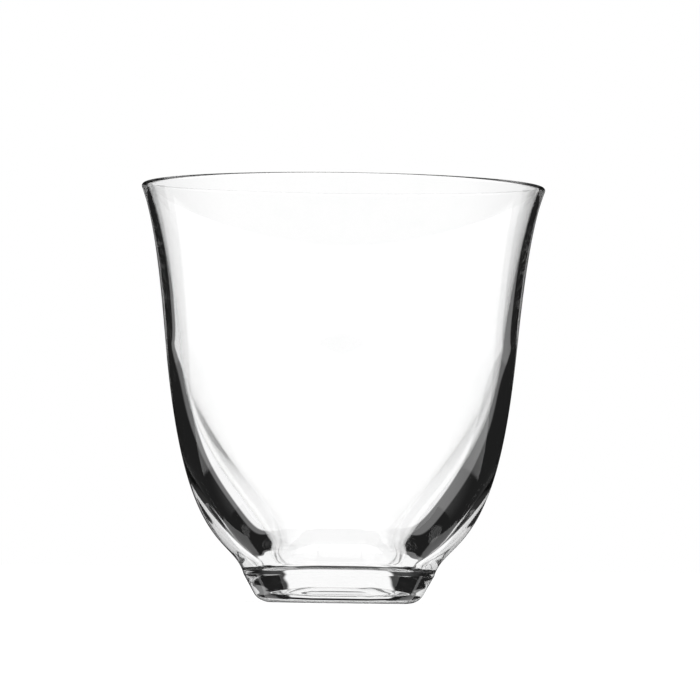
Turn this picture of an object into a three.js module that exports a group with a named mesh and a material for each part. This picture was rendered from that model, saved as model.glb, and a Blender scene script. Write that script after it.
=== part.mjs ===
// Rocks glass: a clear tumbler whose round, flared mouth runs down into a square, solid foot.
// Millimetres, +Z up. The axis is Z, the resting face lies on z = 0, and the foot's flats face X and Y.
import * as THREE from "three";

// Foot: the solid pad under the crease, square with round corners, wider at the top
const FOOT_HEIGHT = 6.15;
const FOOT_TOP_WIDTH = 42;
const FOOT_BOTTOM_WIDTH = 35.2;
const FOOT_CORNER_RADIUS = 13.8;
const FOOT_EDGE_ROLL = 2.8;
const FOOT_EDGE_RISE = 2.0;

// Bowl, outside: from the crease over the shoulder to the belly, then up the flare to the lip
const SHOULDER_LEAN = 15.4;
const SHOULDER_FOOT_PULL = 8.8;
const SHOULDER_BELLY_PULL = 47.2;
const BELLY_WIDTH = 78.3;
const BELLY_HEIGHT = 57;
const BELLY_LEAN = 5.7;
const FLARE_BELLY_PULL = 8.0;
const FLARE_LIP_PULL = 9.6;
const FLARE_LEAN = 20;
const ROUND_HEIGHT = 65.8;

// Bowl, inside: a flat floor, a well with round corners, a haunch where the well opens into the
// bowl, and a wall that thins towards the lip
const FLOOR_THICKNESS = 2.7;
const FLOOR_WIDTH = 16.1;
const FLOOR_PULL = 9.2;
const HAUNCH_WIDTH = 35.8;
const HAUNCH_HEIGHT = 16.1;
const HAUNCH_LEAN = 45.8;
const HAUNCH_WELL_PULL = 7.6;
const HAUNCH_WALL_PULL = 15.3;
const WALL_BELLY_PULL = 15.3;
const BELLY_WALL = 3.1;
const BELLY_INNER_LEAN = 7.0;
const WELL_CORNER_RADIUS = 5.7;
const WELL_ROUND_HEIGHT = 54.7;

// Lip: the fire-polished ring that closes the wall
const GLASS_HEIGHT = 93;
const LIP_WIDTH = 90;
const LIP_WALL = 1.3;
const LIP_RING_HEIGHT = 1.6;

// Facets: steps around the axis and along each curve
const ROUND_STEPS = 64;
const SHOULDER_STEPS = 14;
const FLARE_STEPS = 7;
const WELL_STEPS = 8;
const WALL_STEPS = 9;
const EDGE_STEPS = 4;
const BEAD_STEPS = 3;

// A point of a profile: half the width across the flats, the height, and the roundness of the
// section there, from the share of the half width that the corner radius takes to 1 for a circle.
const profilePoint = (half, height, roundness) => ({ half, height, roundness });

// A step along a curve's tangent that leans outwards from the vertical by some degrees
function leaning(degrees, length) {
  const angle = THREE.MathUtils.degToRad(degrees);
  return new THREE.Vector2(Math.sin(angle), Math.cos(angle)).multiplyScalar(length);
}

// How far the outline of a square of half width 1 with round corners lies from its middle,
// along the direction (x, y) of length 1
function squareReach(x, y, cornerRadius) {
  const along = Math.max(Math.abs(x), Math.abs(y));
  const across = Math.min(Math.abs(x), Math.abs(y));
  const cornerCentre = 1 - cornerRadius;
  if (across / along <= cornerCentre) {
    return 1 / along;
  }
  const aside = cornerCentre * (along - across);
  return cornerCentre * (along + across) + Math.sqrt(cornerRadius ** 2 - aside ** 2);
}

// Turns a profile about Z and presses each of its rings to its own round-cornered square
function pressedLathe(profile) {
  const outline = profile.map(({ half, height }) => new THREE.Vector2(half, height));
  const geometry = new THREE.LatheGeometry(outline, ROUND_STEPS);
  geometry.rotateX(Math.PI / 2);
  const position = geometry.getAttribute("position");
  for (let i = 0; i < position.count; i += 1) {
    const { half, height, roundness } = profile[i % profile.length];
    if (half > 0) {
      const x = position.getX(i);
      const y = position.getY(i);
      const reach = squareReach(x / half, y / half, roundness);
      position.setXYZ(i, x * reach, y * reach, height);
    }
  }
  return geometry;
}

// Glass of one node, clear with a faint grey-green
function glassMesh(name, profile, colour) {
  const material = new THREE.MeshStandardMaterial({
    color: colour,
    roughness: 0.04,
    metalness: 0,
    transparent: true,
    opacity: 0.35,
  });
  const mesh = new THREE.Mesh(pressedLathe(profile), material);
  mesh.name = name;
  return mesh;
}

// Sections go from a square at the crease to a circle at some height, easing in and out
function sectionRoundness(squareShare, roundHeight, height) {
  const ease = THREE.MathUtils.smootherstep(height, FOOT_HEIGHT, roundHeight);
  return THREE.MathUtils.lerp(squareShare, 1, ease);
}

const footShare = FOOT_CORNER_RADIUS / (FOOT_TOP_WIDTH / 2);
const wellShare = WELL_CORNER_RADIUS / (FLOOR_WIDTH / 2);
const outerPoint = ({ x, y }) => profilePoint(x, y, sectionRoundness(footShare, ROUND_HEIGHT, y));
const innerPoint = ({ x, y }) => profilePoint(x, y, sectionRoundness(wellShare, WELL_ROUND_HEIGHT, y));

// Places that the nodes share
const floorHeight = FOOT_HEIGHT + FLOOR_THICKNESS;
const lipSeamHeight = GLASS_HEIGHT - LIP_RING_HEIGHT;
const beadRadius = LIP_WALL / 2;
const beadCentre = new THREE.Vector2(LIP_WIDTH / 2 - beadRadius, GLASS_HEIGHT - beadRadius);
const seamCentre = beadCentre.clone().sub(
  leaning(FLARE_LEAN, 1).multiplyScalar((beadCentre.y - lipSeamHeight) / leaning(FLARE_LEAN, 1).y),
);
const seamHalfWall = beadRadius / leaning(FLARE_LEAN, 1).y;
const seamOuter = new THREE.Vector2(seamCentre.x + seamHalfWall, lipSeamHeight);
const seamInner = new THREE.Vector2(seamCentre.x - seamHalfWall, lipSeamHeight);

const footTop = new THREE.Vector2(FOOT_TOP_WIDTH / 2, FOOT_HEIGHT);
const bellyOuter = new THREE.Vector2(BELLY_WIDTH / 2, BELLY_HEIGHT);
const bellyInner = new THREE.Vector2(BELLY_WIDTH / 2 - BELLY_WALL, BELLY_HEIGHT);
const haunch = new THREE.Vector2(HAUNCH_WIDTH / 2, HAUNCH_HEIGHT);
const floorEdge = new THREE.Vector2(FLOOR_WIDTH / 2, floorHeight);

// A cubic curve from one point to another, leaving and arriving along given leans
function leaningCurve(start, startStep, end, endStep) {
  return new THREE.CubicBezierCurve(start, start.clone().add(startStep), end.clone().sub(endStep), end);
}

const shoulderCurve = leaningCurve(
  footTop,
  leaning(SHOULDER_LEAN, SHOULDER_FOOT_PULL),
  bellyOuter,
  leaning(BELLY_LEAN, SHOULDER_BELLY_PULL),
);
const outerFlare = leaningCurve(
  bellyOuter,
  leaning(BELLY_LEAN, FLARE_BELLY_PULL),
  seamOuter,
  leaning(FLARE_LEAN, FLARE_LIP_PULL),
);
const innerFlare = leaningCurve(
  bellyInner,
  leaning(BELLY_INNER_LEAN, FLARE_BELLY_PULL),
  seamInner,
  leaning(FLARE_LEAN, FLARE_LIP_PULL),
);
const wellCurve = leaningCurve(
  floorEdge,
  new THREE.Vector2(FLOOR_PULL, 0),
  haunch,
  leaning(HAUNCH_LEAN, HAUNCH_WELL_PULL),
);
const wallCurve = leaningCurve(
  haunch,
  leaning(HAUNCH_LEAN, HAUNCH_WALL_PULL),
  bellyInner,
  leaning(BELLY_INNER_LEAN, WALL_BELLY_PULL),
);

// Foot: resting face, rolled edge, tapered side, and the flat that is fused to the bowl
function footProfile() {
  const edgeCorner = new THREE.Vector2(FOOT_BOTTOM_WIDTH / 2, 0);
  const sideShare = FOOT_EDGE_RISE / FOOT_HEIGHT;
  const edge = new THREE.QuadraticBezierCurve(
    edgeCorner.clone().sub(new THREE.Vector2(FOOT_EDGE_ROLL, 0)),
    edgeCorner,
    edgeCorner.clone().lerp(footTop, sideShare),
  );
  return [
    profilePoint(0, 0, footShare),
    ...edge.getPoints(EDGE_STEPS).map(outerPoint),
    outerPoint(footTop),
    profilePoint(0, FOOT_HEIGHT, footShare),
  ];
}

// Bowl: the flat on the foot, the wall outside up to the lip, and the wall inside down to the floor
function bowlProfile() {
  const outside = [...shoulderCurve.getPoints(SHOULDER_STEPS), ...outerFlare.getPoints(FLARE_STEPS).slice(1)];
  const inside = [
    ...wellCurve.getPoints(WELL_STEPS),
    ...wallCurve.getPoints(WALL_STEPS).slice(1),
    ...innerFlare.getPoints(FLARE_STEPS).slice(1),
  ];
  return [
    profilePoint(0, FOOT_HEIGHT, footShare),
    ...outside.map(outerPoint),
    ...inside.reverse().map(innerPoint),
    profilePoint(0, floorHeight, wellShare),
  ];
}

// Lip: a ring whose rounded bead closes the top of the wall
function lipProfile() {
  const lean = THREE.MathUtils.degToRad(FLARE_LEAN);
  const bead = new THREE.Path();
  bead.absarc(beadCentre.x, beadCentre.y, beadRadius, -lean, Math.PI - lean, false);
  const outline = [seamOuter, ...bead.getPoints(BEAD_STEPS), seamInner, seamOuter];
  return outline.map(outerPoint);
}

const rocksGlass = new THREE.Group();
rocksGlass.name = "rocks_glass";
rocksGlass.add(glassMesh("foot", footProfile(), 0xdfe8e6));
rocksGlass.add(glassMesh("bowl", bowlProfile(), 0xeef4f3));
rocksGlass.add(glassMesh("lip", lipProfile(), 0xe6eeec));

export default rocksGlass;
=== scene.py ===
"""Rocks glass, dressed for rendering.

A clear tumbler: a round flared lip, a bowl that turns square towards its base, and a low solid
foot under a sharp crease. Three closed pieces stand for the three solids of the frame. They meet
on flats that let light through unbent, because the real glass is fused there.
"""

import math

import bpy
import numpy as np
from bpy.props import FloatProperty, FloatVectorProperty, IntProperty, PointerProperty
from bpy.types import Operator, Panel, PropertyGroup
from mathutils import Matrix, Vector


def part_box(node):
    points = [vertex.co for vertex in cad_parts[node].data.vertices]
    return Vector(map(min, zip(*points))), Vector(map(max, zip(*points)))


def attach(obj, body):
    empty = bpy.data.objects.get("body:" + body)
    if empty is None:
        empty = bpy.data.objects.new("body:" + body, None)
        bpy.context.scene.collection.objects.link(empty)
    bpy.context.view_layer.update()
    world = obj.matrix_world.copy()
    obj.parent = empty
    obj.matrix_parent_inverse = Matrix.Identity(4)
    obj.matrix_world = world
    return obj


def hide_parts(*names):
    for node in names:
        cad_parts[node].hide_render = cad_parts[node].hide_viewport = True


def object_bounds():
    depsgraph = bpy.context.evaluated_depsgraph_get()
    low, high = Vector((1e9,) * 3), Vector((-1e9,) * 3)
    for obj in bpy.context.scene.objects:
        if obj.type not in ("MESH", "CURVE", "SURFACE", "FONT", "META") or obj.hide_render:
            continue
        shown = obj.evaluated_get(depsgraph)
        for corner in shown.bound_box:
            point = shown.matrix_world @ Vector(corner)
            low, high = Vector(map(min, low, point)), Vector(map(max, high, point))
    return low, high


bl_info = {
    "name": "Rocks Glass",
    "version": (1, 0, 0),
    "blender": (4, 5, 0),
    "location": "3D View > Sidebar > Glass",
    "description": "Makes a clear rocks glass with a square foot, and a bright studio round it",
    "category": "Add Mesh",
}

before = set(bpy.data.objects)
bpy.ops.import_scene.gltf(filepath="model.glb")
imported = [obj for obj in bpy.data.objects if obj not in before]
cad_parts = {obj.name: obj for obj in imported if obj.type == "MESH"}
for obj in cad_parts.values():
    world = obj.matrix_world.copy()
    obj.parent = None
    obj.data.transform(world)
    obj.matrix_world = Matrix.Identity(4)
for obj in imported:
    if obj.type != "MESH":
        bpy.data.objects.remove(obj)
CAD_LOW, CAD_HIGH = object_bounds()
FOOT_LOW, FOOT_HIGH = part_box("foot")
LIP_LOW, LIP_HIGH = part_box("lip")

BODY = "root"
MILLIMETRE = 0.001
SHARP_ANGLE = math.radians(30)

# How often Cycles follows light through glass, and through the fused flats
GLASS_BOUNCES = 32
CLEAR_BOUNCES = 64

# Places of the two materials on a piece: its glass skin, and the flats where it is fused to the next
GLASS, WELD = 0, 1

# Sockets of a Mix node for colours: share, first and second colour, and the result
MIX_SHARE, MIX_FIRST, MIX_SECOND, MIX_RESULT = 0, 6, 7, 2


def length(name, description, millimetres):
    """A property for a length, given in millimetres and kept in metres."""
    return FloatProperty(
        name=name,
        description=description,
        default=millimetres * MILLIMETRE,
        precision=5,
        unit="LENGTH",
        subtype="DISTANCE",
    )


def framed(name, description, metres):
    """A property for a length that the frame gives, in metres."""
    return length(name, description, metres / MILLIMETRE)


def angle(name, description, degrees):
    """A property for an angle, given in degrees and kept in radians."""
    return FloatProperty(
        name=name,
        description=description,
        default=math.radians(degrees),
        precision=4,
        unit="ROTATION",
        subtype="ANGLE",
    )


def level(name, description, default):
    """A property for a plain share, level or strength."""
    return FloatProperty(name=name, description=description, default=default, min=0.0, precision=4)


def colour(name, description, rgb):
    """A property for a colour, in linear light."""
    return FloatVectorProperty(
        name=name,
        description=description,
        default=rgb,
        size=3,
        min=0.0,
        max=1.0,
        subtype="COLOR",
    )


def count(name, description, default):
    """A property for a number of steps."""
    return IntProperty(name=name, description=description, default=default, min=4)


class GlassSizes(PropertyGroup):
    """Sizes of the glass."""

    glass_height: framed("Glass height", "Resting face to the top of the lip", CAD_HIGH.z)
    foot_height: framed("Foot height", "Resting face to the crease", FOOT_HIGH.z)
    foot_top_width: framed("Foot top width", "Foot across its flats at the crease", FOOT_HIGH.x - FOOT_LOW.x)
    foot_bottom_width: length("Foot bottom width", "Across where the sides would meet the table", 35.2)
    foot_corner_radius: length("Foot corner radius", "Round corner of the foot at the crease", 13.8)
    foot_edge_roll: length("Foot edge roll", "How far the rolled edge reaches in on the resting face", 2.8)
    foot_edge_rise: length("Foot edge rise", "How far the rolled edge reaches up the side", 2.0)

    shoulder_lean: angle("Shoulder lean", "Lean of the wall where it leaves the crease", 15.4)
    shoulder_foot_pull: length("Shoulder foot pull", "How long the wall keeps that lean", 8.8)
    shoulder_belly_pull: length("Shoulder belly pull", "How early the wall takes the belly's lean", 47.2)
    belly_width: length("Belly width", "Bowl across at the belly", 78.3)
    belly_height: length("Belly height", "Resting face to the belly", 57.0)
    belly_lean: angle("Belly lean", "Lean of the wall at the belly", 5.7)
    flare_belly_pull: length("Flare belly pull", "How long the flare keeps the belly's lean", 8.0)
    flare_lip_pull: length("Flare lip pull", "How early the flare takes the lip's lean", 9.6)
    flare_lean: angle("Flare lean", "Lean of the wall under the lip", 20.0)
    round_height: length("Round height", "Height where the outside has become a circle", 65.8)

    floor_thickness: length("Floor thickness", "Crease to the floor of the bowl", 2.7)
    floor_width: length("Floor width", "Flat part of the floor", 16.1)
    floor_pull: length("Floor pull", "How far the floor's level runs on into the well", 9.2)
    haunch_width: length("Haunch width", "Inside across where the well opens into the bowl", 35.8)
    haunch_height: length("Haunch height", "Resting face to that place", 16.1)
    haunch_lean: angle("Haunch lean", "Lean of the inner wall there", 45.8)
    haunch_well_pull: length("Haunch well pull", "How early the well takes that lean", 7.6)
    haunch_wall_pull: length("Haunch wall pull", "How long the wall keeps that lean", 15.3)
    wall_belly_pull: length("Wall belly pull", "How early the inner wall takes its lean at the belly", 15.3)
    belly_wall: length("Belly wall", "Thickness of the wall at the belly", 3.1)
    belly_inner_lean: angle("Belly inner lean", "Lean of the inner wall at the belly", 7.0)
    well_corner_radius: length("Well corner radius", "Round corner of the floor", 5.7)
    well_round_height: length("Well round height", "Height where the inside has become a circle", 54.7)

    lip_width: framed("Lip width", "Lip across its outside", LIP_HIGH.x - LIP_LOW.x)
    lip_ring_height: framed("Lip ring height", "Height of the fire-polished ring", LIP_HIGH.z - LIP_LOW.z)
    lip_wall: length("Lip wall", "Thickness of the lip", 1.3)

    around_steps: count("Steps around", "Faces round the axis", 360)
    curve_steps: count("Steps along", "Faces along each long curve", 56)
    edge_steps: count("Steps on edges", "Faces along each rolled edge", 16)
    flat_steps: count("Steps on flats", "Faces along each flat", 4)


class GlassFinish(PropertyGroup):
    """Finish of the glass."""

    clean_tint: colour("Clean tint", "What a clean surface lets through", (1.0, 1.0, 1.0))
    hazed_tint: colour("Hazed tint", "What a handled patch lets through", (0.985, 0.99, 0.988))
    refraction: FloatProperty(name="Refraction", description="Refractive index", default=1.52, min=1.0)
    patch_size: length("Patch size", "Width of the handled patches", 6.0)
    patch_detail: level("Patch detail", "Octaves of noise in the handled patches", 4.0)
    patch_start: level("Patch start", "Noise level where a handled patch begins", 0.5)
    patch_full: level("Patch full", "Noise level where a handled patch is at its strongest", 0.75)
    patch_roughness: level("Patch roughness", "Roughness of the handled patches", 0.01)
    wear_size: length("Wear size", "Width of the specks in the worn ring", 0.25)
    wear_detail: level("Wear detail", "Octaves of noise in the worn ring", 3.0)
    wear_start: level("Wear start", "Noise level where a worn speck begins", 0.4)
    wear_full: level("Wear full", "Noise level where a worn speck is at its strongest", 0.6)
    wear_inner: level("Wear inner", "Inner edge of the worn ring, as a share of the resting face", 0.9)
    wear_roughness: level("Wear roughness", "Roughness of the worn ring that it stands on", 0.15)
    wear_height: length("Wear height", "How far above the table the wear reaches", 0.1)


class StudioSettings(PropertyGroup):
    """Floor, light and camera."""

    floor_size: length("Floor size", "Side of the floor", 30000.0)
    floor_colour: colour("Floor colour", "Colour of the floor in the light", (0.3, 0.3, 0.3))
    floor_glow: level("Floor glow", "White that the floor adds to its own colour", 0.8)
    window_angle: angle("Window angle", "Half width of the bright window behind the glass", 10.0)
    window_foot: angle("Window foot", "Elevation of the window's lower edge", -12.0)
    window_head: angle("Window head", "Elevation of the window's upper edge", 25.0)
    flag_head_angle: angle("Flag head angle", "Outer edge of the dark flags at eye level", 24.0)
    flag_foot_angle: angle("Flag foot angle", "Outer edge of the dark flags low down", 47.0)
    flag_slant: angle("Flag slant", "How far below eye level the flags have widened", 28.0)
    flag_grey: level("Flag grey", "Level of the dark flags", 0.012)
    room_left: angle("Room left", "Width of the dim room beside the left flag", 5.0)
    room_right: angle("Room right", "Width of the dim room beside the right flag", 13.0)
    room_grey: level("Room grey", "Level of the dim room above the window's foot", 0.25)
    table_grey: level("Table grey", "Level of the dim room below the window's foot", 0.17)
    high_angle: angle("High angle", "Elevation above which rays mirrored often inside see light", 22.0)
    third_foot: angle("Third foot", "Elevation above which rays mirrored three times see light", -5.0)
    third_angle: angle("Third angle", "How far aside rays mirrored three times see light", 50.0)
    deep_grey: level("Deep grey", "Level that rays mirrored often see elsewhere", 0.03)
    skin_head_angle: angle("Skin head angle", "How far round the skin's upper part mirrors dark", 60.0)
    skin_start: angle("Skin start", "Where round the glass the skin's lower part begins to see light", 66.0)
    skin_end: angle("Skin end", "Where round the glass the skin's lower part sees only light", 112.0)
    low_skin_head: angle("Low skin head", "Elevation below which the skin mirrors the dark table", -37.0)
    low_skin_angle: angle("Low skin angle", "How far round the skin mirrors the dark table", 105.0)
    strip_foot: angle("Strip foot", "Elevation of the lower edge of the skin's lit strip", -51.0)
    strip_head: angle("Strip head", "Elevation of the upper edge of the lit strip", -31.5)
    strip_angle: angle("Strip angle", "How far aside the lit strip reaches", 60.0)
    soft_angle: angle("Soft angle", "Half width of the soft edges between these zones", 1.0)

    camera_distance: length("Camera distance", "Axis of the glass to the camera", 1280.0)
    camera_height: length("Camera height", "Floor to the camera", 8.0)
    camera_turn: angle("Camera turn", "Azimuth of the camera round the glass", -1.81)
    camera_pan: angle("Camera pan", "Turn that sets the glass beside the picture's middle", -0.0863)
    camera_pitch: angle("Camera pitch", "Upward tilt of the camera", 2.163)
    camera_roll: angle("Camera roll", "Tilt of the camera about its own axis", 0.77)
    lens: FloatProperty(name="Lens", description="Focal length", default=295.5, unit="CAMERA", precision=2)


def leaning(lean, span):
    """A step of the given span that leans outwards from the vertical: span times (sin, cos)."""
    return span * np.array([math.sin(lean), math.cos(lean)])


def line(start, end, steps):
    """Points at even steps on the straight line from start to end."""
    t = np.linspace(0.0, 1.0, steps + 1)[:, None]
    return (1.0 - t) * start + t * end


def cubic(start, start_step, end, end_step, steps):
    """A cubic Bezier curve that leaves start along start_step and reaches end along end_step."""
    t = np.linspace(0.0, 1.0, steps + 1)[:, None]
    s = 1.0 - t
    return s**3 * start + 3 * s**2 * t * (start + start_step) + 3 * s * t**2 * (end - end_step) + t**3 * end


def square_reach(x, y, corner):
    """How far a square of half width 1 with round corners reaches along the direction (x, y).

    On a flat the reach is 1 over the larger part of the direction. On a corner it is the far
    crossing of the direction with a circle of radius corner about (1 - corner, 1 - corner).
    """
    along = np.maximum(abs(x), abs(y))
    across = np.minimum(abs(x), abs(y))
    centre = 1.0 - corner
    aside = centre * (along - across)
    on_corner = centre * (along + across) + np.sqrt(np.maximum(corner**2 - aside**2, 0.0))
    return np.where(across <= centre * along, 1.0 / along, on_corner)


class GlassShape:
    """The places and profiles of the glass, worked out from its sizes.

    A profile is an array of rows: half width across the flats, height and roundness. Roundness is
    the corner radius as a share of the half width, so it is 1 on a circle.
    """

    def __init__(self, sizes):
        self.sizes = s = sizes
        self.foot_share = s.foot_corner_radius / (s.foot_top_width / 2)
        self.well_share = s.well_corner_radius / (s.floor_width / 2)
        self.foot_top = np.array([s.foot_top_width / 2, s.foot_height])
        self.belly_outer = np.array([s.belly_width / 2, s.belly_height])
        self.belly_inner = self.belly_outer - [s.belly_wall, 0.0]
        self.haunch = np.array([s.haunch_width / 2, s.haunch_height])
        self.floor_edge = np.array([s.floor_width / 2, s.foot_height + s.floor_thickness])
        self.bead_radius = s.lip_wall / 2
        self.bead_centre = np.array([s.lip_width / 2, s.glass_height]) - self.bead_radius
        drop = self.bead_centre[1] - (s.glass_height - s.lip_ring_height)
        seam_middle = self.bead_centre - [drop * math.tan(s.flare_lean), drop]
        half_wall = np.array([self.bead_radius / math.cos(s.flare_lean), 0.0])
        self.seam_outer = seam_middle + half_wall
        self.seam_inner = seam_middle - half_wall

    def eased(self, points, square_share, round_height):
        """The roundness at some points, which eases with height from the share at the crease to 1.

        The ease is t^3 (10 - 15 t + 6 t^2), where t runs from 0 at the crease to 1 at the round height.
        """
        crease = self.sizes.foot_height
        t = np.clip((points[:, 1] - crease) / (round_height - crease), 0.0, 1.0)
        ease = t**3 * (10.0 - 15.0 * t + 6.0 * t**2)
        return square_share + (1.0 - square_share) * ease

    def outer(self, points):
        """Points of the outside, with their roundness."""
        return np.column_stack([points, self.eased(points, self.foot_share, self.sizes.round_height)])

    def inner(self, points):
        """Points of the inside, with their roundness."""
        return np.column_stack([points, self.eased(points, self.well_share, self.sizes.well_round_height)])

    def from_axis(self, edge):
        """The flat from the axis out to an edge."""
        return line(np.array([0.0, edge[1]]), edge, self.sizes.flat_steps)

    def foot(self):
        """Resting face, rolled edge and tapered side of the foot, from the axis to the crease.

        The rolled edge is a cubic curve about the corner where the side would meet the table, with
        its pulls at two thirds of the way to that corner.
        """
        s = self.sizes
        corner = np.array([s.foot_bottom_width / 2, 0.0])
        start = corner - [s.foot_edge_roll, 0.0]
        end = corner + (self.foot_top - corner) * s.foot_edge_rise / s.foot_height
        edge = cubic(start, (corner - start) * 2 / 3, end, (end - corner) * 2 / 3, s.edge_steps)
        side = line(end, self.foot_top, s.edge_steps)
        return self.outer(np.vstack([self.from_axis(start), edge[1:], side[1:]]))

    def crease(self):
        """The flat inside the glass at the crease, from the axis out."""
        return self.outer(self.from_axis(self.foot_top))

    def flare(self, belly, lean, seam):
        """One side of the flared wall, from the belly to the lip's seam."""
        s = self.sizes
        belly_step = leaning(lean, s.flare_belly_pull)
        return cubic(belly, belly_step, seam, leaning(s.flare_lean, s.flare_lip_pull), s.curve_steps)

    def outside(self):
        """Outer wall of the bowl, from the crease over the shoulder and the belly to the lip's seam."""
        s = self.sizes
        foot_step = leaning(s.shoulder_lean, s.shoulder_foot_pull)
        belly_step = leaning(s.belly_lean, s.shoulder_belly_pull)
        shoulder = cubic(self.foot_top, foot_step, self.belly_outer, belly_step, s.curve_steps)
        flare = self.flare(self.belly_outer, s.belly_lean, self.seam_outer)
        return self.outer(np.vstack([shoulder, flare[1:]]))

    def inside(self):
        """Inner wall of the bowl, from the lip's seam down over the haunch to the middle of the floor."""
        s = self.sizes
        floor = self.from_axis(self.floor_edge)
        floor_step = np.array([s.floor_pull, 0.0])
        well_step = leaning(s.haunch_lean, s.haunch_well_pull)
        well = cubic(self.floor_edge, floor_step, self.haunch, well_step, s.curve_steps // 2)
        wall_step = leaning(s.haunch_lean, s.haunch_wall_pull)
        belly_step = leaning(s.belly_inner_lean, s.wall_belly_pull)
        wall = cubic(self.haunch, wall_step, self.belly_inner, belly_step, s.curve_steps)
        flare = self.flare(self.belly_inner, s.belly_inner_lean, self.seam_inner)
        return self.inner(np.vstack([floor, well[1:], wall[1:], flare[1:]])[::-1])

    def bead(self):
        """The lip's skin, from the seam outside over the round bead to the seam inside.

        The bead is a half circle whose ends are square to the lean of the flare.
        """
        s = self.sizes
        turn = np.linspace(-s.flare_lean, math.pi - s.flare_lean, 2 * s.edge_steps + 1)
        arc = self.bead_centre + self.bead_radius * np.column_stack([np.cos(turn), np.sin(turn)])
        rise = line(self.seam_outer, arc[0], s.flat_steps)
        fall = line(arc[-1], self.seam_inner, s.flat_steps)
        return self.outer(np.vstack([rise, arc[1:], fall[1:]]))

    def seam(self):
        """The flat ring between bowl and lip, from outside to inside."""
        return self.outer(line(self.seam_outer, self.seam_inner, self.sizes.flat_steps))


def carried_round(profile, around):
    """Carries a profile round the axis and presses each ring to its round-cornered square.

    At the angle a, a row of half width h and roundness c lies h * reach(cos a, sin a, c) from its middle.
    """
    a = np.arange(around) * 2 * math.pi / around
    half, height, roundness = (column[:, None] for column in profile.T)
    x, y = np.cos(a)[None, :], np.sin(a)[None, :]
    reach = half * square_reach(x, y, roundness)
    return np.stack([reach * x, reach * y, np.broadcast_to(height, reach.shape)], axis=-1)


def shell(name, stretches, around):
    """A closed piece from stretches of profile, each given with its place among the materials.

    Each stretch starts where the last one ends. Where the first and the last row lie on the axis,
    each becomes a pole with a fan of triangles. Otherwise the last row is the first one again.
    """
    rows = np.vstack([stretches[0][0][:1]] + [profile[1:] for profile, _ in stretches])
    strips = np.concatenate([np.full(len(profile) - 1, place) for profile, place in stretches])
    poled = rows[0, 0] == 0.0
    rings = rows[1:-1] if poled else rows[:-1]
    points = carried_round(rings, around).reshape(-1, 3)
    here = np.arange(around)
    beside = (here + 1) % around
    low = np.arange(len(rings) - poled)[:, None] * around
    high = (low + around) % len(points)
    quads = np.stack([low + here, low + beside, high + beside, high + here], axis=-1).reshape(-1, 4)
    fans = np.zeros((0, 3), dtype=int)
    places = strips
    if poled:
        top = len(points) - around
        poles = np.full(around, len(points))
        first = np.column_stack([poles, beside, here])
        last = np.column_stack([poles + 1, top + here, top + beside])
        fans = np.vstack([first, last])
        points = np.vstack([points, [[0.0, 0.0, rows[0, 1]], [0.0, 0.0, rows[-1, 1]]]])
        places = np.concatenate([strips[1:-1], strips[[0, -1]]])
    return mesh_piece(name, points, quads, fans, np.repeat(places, around))


def mesh_piece(name, points, quads, triangles, places):
    """Puts whole arrays of points and faces into a mesh, smooth up to its sharp edges."""
    mesh = bpy.data.meshes.new(name)
    mesh.vertices.add(len(points))
    mesh.vertices.foreach_set("co", points.ravel())
    mesh.loops.add(quads.size + triangles.size)
    mesh.loops.foreach_set("vertex_index", np.concatenate([quads.ravel(), triangles.ravel()]))
    mesh.polygons.add(len(quads) + len(triangles))
    triangle_starts = quads.size + 3 * np.arange(len(triangles))
    mesh.polygons.foreach_set("loop_start", np.concatenate([4 * np.arange(len(quads)), triangle_starts]))
    mesh.polygons.foreach_set("material_index", places)
    mesh.update(calc_edges=True)
    if mesh.validate():
        raise RuntimeError(f"{name} has broken faces")
    mesh.shade_smooth()
    mesh.set_sharp_from_angle(angle=SHARP_ANGLE)
    piece = bpy.data.objects.new(name, mesh)
    bpy.context.scene.collection.objects.link(piece)
    return piece


class Wire:
    """A shader node's output, which Python's operators turn into Math nodes."""

    def __init__(self, tree, socket):
        self.tree = tree
        self.socket = socket

    @staticmethod
    def node(tree, kind, settings, sockets):
        """Adds a node of some kind: its settings come first, then its sockets' values or wires."""
        made = tree.nodes.new(kind)
        for key, value in settings.items():
            setattr(made, key, value)
        for key, value in sockets.items():
            if isinstance(value, Wire):
                tree.links.new(value.socket, made.inputs[key])
            else:
                made.inputs[key].default_value = value
        return made

    @classmethod
    def out(cls, tree, kind, settings, sockets, output=0):
        """One output of a new node."""
        return cls(tree, cls.node(tree, kind, settings, sockets).outputs[output])

    def math(self, operation, *others):
        """A Math node on this wire and other values."""
        sockets = dict(enumerate((self, *others)))
        return self.out(self.tree, "ShaderNodeMath", {"operation": operation}, sockets)

    def __add__(self, other):
        return self.math("ADD", other)

    def __sub__(self, other):
        return self.math("SUBTRACT", other)

    def __mul__(self, other):
        return self.math("MULTIPLY", other)

    def __gt__(self, other):
        return self.math("GREATER_THAN", other)

    def __rsub__(self, other):
        return self * -1.0 + other

    __radd__ = __add__
    __rmul__ = __mul__

    def step(self, low, high):
        """A smooth step from 0 at low to 1 at high."""
        sockets = {"Value": self, "From Min": low, "From Max": high}
        return self.out(self.tree, "ShaderNodeMapRange", {"interpolation_type": "SMOOTHSTEP"}, sockets)


def fade(start, end, step):
    """A number that goes from start to end as step goes from 0 to 1."""
    return start * (1 - step) + end * step


def fresh_tree(owner, output_kind):
    """The empty node tree of a material or a world, and its new output's surface socket."""
    owner.use_nodes = True
    tree = owner.node_tree
    tree.nodes.clear()
    return tree, tree.nodes.new(output_kind).inputs["Surface"]


def noise(tree, place, size, detail):
    """Noise whose lumps are about as wide as size."""
    sockets = {"Vector": place, "Scale": 1.0 / size, "Detail": detail}
    return Wire.out(tree, "ShaderNodeTexNoise", {}, sockets)


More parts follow.
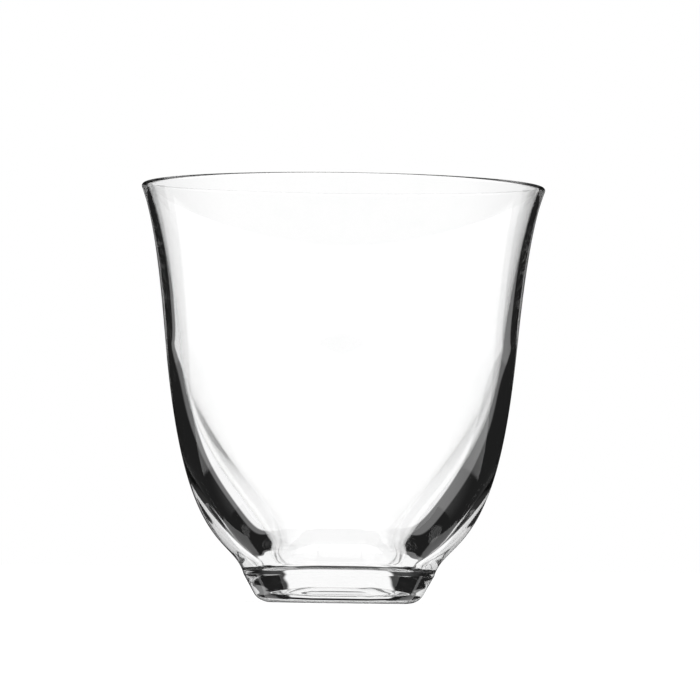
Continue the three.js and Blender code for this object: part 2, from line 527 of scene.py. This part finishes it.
def polished_glass(sizes, finish):
    """Clear glass with handled patches, and a worn ring where it stands."""
    material = bpy.data.materials.new("polished_glass")
    tree, surface = fresh_tree(material, "ShaderNodeOutputMaterial")
    place = Wire.out(tree, "ShaderNodeTexCoord", {}, {}, "Object")
    split = Wire.node(tree, "ShaderNodeSeparateXYZ", {}, {0: place})
    x, y, z = (Wire(tree, socket) for socket in split.outputs)

    patches = noise(tree, place, finish.patch_size, finish.patch_detail)
    handled = patches.step(finish.patch_start, finish.patch_full)
    rim = sizes.foot_bottom_width / 2 - sizes.foot_edge_roll
    ring = (x * x + y * y).math("SQRT").step(finish.wear_inner * rim, rim)
    specks = noise(tree, place, finish.wear_size, finish.wear_detail)
    near_table = 1 - z.step(0.0, finish.wear_height)
    worn = ring * near_table * specks.step(finish.wear_start, finish.wear_full)
    tint_sockets = {
        MIX_SHARE: handled,
        MIX_FIRST: (*finish.clean_tint, 1.0),
        MIX_SECOND: (*finish.hazed_tint, 1.0),
    }
    tint = Wire.out(tree, "ShaderNodeMix", {"data_type": "RGBA"}, tint_sockets, MIX_RESULT)
    sockets = {
        "Base Color": tint,
        "Roughness": handled * finish.patch_roughness + worn * finish.wear_roughness,
        "IOR": finish.refraction,
        "Transmission Weight": 1.0,
    }
    shader = Wire.node(tree, "ShaderNodeBsdfPrincipled", {}, sockets)
    tree.links.new(shader.outputs[0], surface)
    return material


def fused_flat():
    """The flats where the pieces are fused: nothing shows, and light goes straight on."""
    material = bpy.data.materials.new("fused_flat")
    tree, surface = fresh_tree(material, "ShaderNodeOutputMaterial")
    shader = Wire.node(tree, "ShaderNodeBsdfPrincipled", {}, {"Alpha": 0.0})
    tree.links.new(shader.outputs[0], surface)
    return material


def glass_materials(scene):
    """The two materials of the glass, made by the first piece that asks for them."""
    names = ("polished_glass", "fused_flat")
    if any(name not in bpy.data.materials for name in names):
        polished_glass(scene.glass_sizes, scene.glass_finish)
        fused_flat()
    return [bpy.data.materials[name] for name in names]


def dress(piece, node):
    """Gives a piece its materials, hangs it on the body, and hides the solid of the frame that it stands
    for.
    """
    for material in glass_materials(bpy.context.scene):
        piece.data.materials.append(material)
    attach(piece, BODY)
    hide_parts(node)


class GLASS_OT_foot(Operator):
    """Makes the low solid foot, with its resting face, rolled edge and tapered sides"""

    bl_idname = "rocks_glass.foot"
    bl_label = "Foot"

    def execute(self, context):
        shape = GlassShape(context.scene.glass_sizes)
        stretches = [(shape.foot(), GLASS), (shape.crease()[::-1], WELD)]
        dress(shell("glass_foot", stretches, shape.sizes.around_steps), "foot")
        return {"FINISHED"}


class GLASS_OT_bowl(Operator):
    """Makes the bowl, with its shoulder, belly, flare, well and floor"""

    bl_idname = "rocks_glass.bowl"
    bl_label = "Bowl"

    def execute(self, context):
        shape = GlassShape(context.scene.glass_sizes)
        stretches = [
            (shape.crease(), WELD),
            (shape.outside(), GLASS),
            (shape.seam(), WELD),
            (shape.inside(), GLASS),
        ]
        dress(shell("glass_bowl", stretches, shape.sizes.around_steps), "bowl")
        return {"FINISHED"}


class GLASS_OT_lip(Operator):
    """Makes the fire-polished ring of the lip"""

    bl_idname = "rocks_glass.lip"
    bl_label = "Lip"

    def execute(self, context):
        shape = GlassShape(context.scene.glass_sizes)
        stretches = [(shape.bead(), GLASS), (shape.seam()[::-1], WELD)]
        dress(shell("glass_lip", stretches, shape.sizes.around_steps), "lip")
        return {"FINISHED"}


def path_depth(tree, kind):
    """How many times a ray has been mirrored (Glossy) or let through (Transmission) on its way."""
    return Wire.out(tree, "ShaderNodeLightPath", {}, {}, kind + " Depth")


def studio_surround(studio):
    """A white surround. Rays that the glass has mirrored see its darker parts.

    Behind the glass stands a bright window between dark flags that reach further aside lower down.
    Beside them lies a dim room, wider on the right, and past it all is white. The angle aside from
    the window is atan2(abs(x), y) of the level direction. Rays that were mirrored once and let
    through more than twice see white. Those mirrored more often see light only high up behind the
    glass, and lower too when they were mirrored three times. The outer skin mirrors a dark room and
    a dark table with a lit strip on it, and light further round.
    """
    world = bpy.data.worlds.new("studio_surround")
    tree, surface = fresh_tree(world, "ShaderNodeOutputWorld")
    direction = Wire.out(tree, "ShaderNodeTexCoord", {}, {}, "Generated")
    turned = Wire.out(
        tree,
        "ShaderNodeVectorRotate",
        {"rotation_type": "Z_AXIS"},
        {"Vector": direction, "Angle": -studio.camera_turn},
    )
    split = Wire.node(tree, "ShaderNodeSeparateXYZ", {}, {0: turned})
    x, y, z = (Wire(tree, socket) for socket in split.outputs)
    aside = x.math("ABSOLUTE").math("ARCTAN2", y)
    elevation = z.math("ARCSINE")
    soft = studio.soft_angle

    def past(value, edge):
        """A soft step from 0 to 1 where the value passes an edge."""
        return value.step(edge - soft, edge + soft)

    mirrored = path_depth(tree, "Glossy")
    let_through = path_depth(tree, "Transmission")
    above = past(elevation, studio.window_foot)
    window = above * (1 - past(elevation, studio.window_head)) * (1 - past(aside, studio.window_angle))
    slant = (elevation * -1.0).step(0.0, studio.flag_slant)
    flag_edge = fade(studio.flag_head_angle, studio.flag_foot_angle, slant)
    room_edge = flag_edge + fade(studio.room_left, studio.room_right, x > 0.0)
    room = fade(studio.table_grey, studio.room_grey, above)
    inside = fade(fade(studio.flag_grey, 1.0, window), room, past(aside, flag_edge))
    inside = fade(inside, 1.0, past(aside, room_edge))
    inside = fade(inside, 1.0, let_through > 2)

    high = past(elevation, studio.high_angle) * (y > 0.0)
    third = past(elevation, studio.third_foot) * (1 - past(aside, studio.third_angle))
    thrice = (mirrored > 2) * (1 - (mirrored > 3))
    deep = fade(studio.deep_grey, 1.0, fade(high, third, thrice))
    inside = fade(inside, deep, mirrored > 1)

    low_skin = past(aside, studio.low_skin_angle)
    mid_skin = aside.step(studio.skin_start, studio.skin_end)
    lower_skin = fade(low_skin, mid_skin, past(elevation, studio.low_skin_head))
    lit_skin = fade(lower_skin, past(aside, studio.skin_head_angle), above)
    strip = past(elevation, studio.strip_foot) * (1 - past(elevation, studio.strip_head))
    strip = strip * (1 - past(aside, studio.strip_angle))
    skin = fade(fade(studio.flag_grey, 1.0, lit_skin), 1.0, strip)

    zones = fade(skin, inside, let_through > 0)
    seen = fade(1.0, zones, mirrored > 0)
    background = Wire.node(tree, "ShaderNodeBackground", {}, {"Strength": seen})
    tree.links.new(background.outputs[0], surface)
    background.inputs["Color"].default_value = (1.0, 1.0, 1.0, 1.0)
    return world


def pale_floor(studio):
    """A white floor that keeps soft shadows. Rays that the glass has mirrored pass it to the surround."""
    material = bpy.data.materials.new("pale_floor")
    tree, surface = fresh_tree(material, "ShaderNodeOutputMaterial")
    lit = Wire.out(tree, "ShaderNodeBsdfDiffuse", {}, {"Color": (*studio.floor_colour, 1.0)})
    glow = Wire.out(tree, "ShaderNodeEmission", {}, {"Strength": studio.floor_glow})
    pale = Wire.out(tree, "ShaderNodeAddShader", {}, {0: lit, 1: glow})
    clear = Wire.out(tree, "ShaderNodeBsdfTransparent", {}, {})
    mirrored = path_depth(tree, "Glossy") > 0
    shader = Wire.node(tree, "ShaderNodeMixShader", {}, {0: mirrored, 1: pale, 2: clear})
    tree.links.new(shader.outputs[0], surface)
    return material


def studio_camera(studio):
    """A long lens at table height. The camera stands at its turn round the axis and looks back at it."""
    data = bpy.data.cameras.new("camera")
    data.lens = studio.lens
    camera = bpy.data.objects.new("camera", data)
    bpy.context.scene.collection.objects.link(camera)
    stand = Vector((0.0, -studio.camera_distance, studio.camera_height))
    aim = (
        Matrix.Rotation(studio.camera_pan, 4, "Z")
        @ Matrix.Rotation(math.pi / 2 + studio.camera_pitch, 4, "X")
        @ Matrix.Rotation(studio.camera_roll, 4, "Z")
    )
    camera.matrix_world = Matrix.Rotation(studio.camera_turn, 4, "Z") @ Matrix.Translation(stand) @ aim
    return camera


class GLASS_OT_stage(Operator):
    """Makes the pale floor, the bright surround and the camera"""

    bl_idname = "rocks_glass.stage"
    bl_label = "Stage"

    def execute(self, context):
        scene = context.scene
        studio = scene.glass_studio
        half = studio.floor_size / 2
        corners = half * np.array([[-1.0, -1.0, 0.0], [1.0, -1.0, 0.0], [1.0, 1.0, 0.0], [-1.0, 1.0, 0.0]])
        no_triangles = np.zeros((0, 3), dtype=int)
        floor = mesh_piece("floor", corners, np.array([[0, 1, 2, 3]]), no_triangles, np.array([0]))
        floor.data.materials.append(pale_floor(studio))
        scene.world = studio_surround(studio)
        scene.camera = studio_camera(studio)
        scene.view_settings.view_transform = "Standard"
        scene.cycles.max_bounces = GLASS_BOUNCES
        scene.cycles.glossy_bounces = GLASS_BOUNCES
        scene.cycles.transmission_bounces = GLASS_BOUNCES
        scene.cycles.transparent_max_bounces = CLEAR_BOUNCES
        return {"FINISHED"}


class GLASS_PT_panel(Panel):
    """Sizes, finish and studio of the glass, with a button for each piece"""

    bl_label = "Rocks Glass"
    bl_idname = "GLASS_PT_panel"
    bl_space_type = "VIEW_3D"
    bl_region_type = "UI"
    bl_category = "Glass"

    def draw(self, context):
        for operator in OPERATORS:
            self.layout.operator(operator.bl_idname)
        for name in GROUPS:
            box = self.layout.box()
            group = getattr(context.scene, name)
            for key in group.__annotations__:
                box.prop(group, key)


GROUPS = {"glass_sizes": GlassSizes, "glass_finish": GlassFinish, "glass_studio": StudioSettings}
OPERATORS = (GLASS_OT_foot, GLASS_OT_bowl, GLASS_OT_lip, GLASS_OT_stage)
CLASSES = (*GROUPS.values(), *OPERATORS, GLASS_PT_panel)


def register():
    """Registers the classes and hangs the three groups of settings on the scene."""
    for cls in CLASSES:
        bpy.utils.register_class(cls)
    for name, group in GROUPS.items():
        setattr(bpy.types.Scene, name, PointerProperty(type=group))


def unregister():
    """Takes the settings and the classes away again."""
    for name in GROUPS:
        delattr(bpy.types.Scene, name)
    for cls in reversed(CLASSES):
        bpy.utils.unregister_class(cls)


def main():
    """Registers the add-on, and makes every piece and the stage."""
    register()
    bpy.ops.rocks_glass.foot()
    bpy.ops.rocks_glass.bowl()
    bpy.ops.rocks_glass.lip()
    bpy.ops.rocks_glass.stage()


if __name__ == "__main__":
    main()
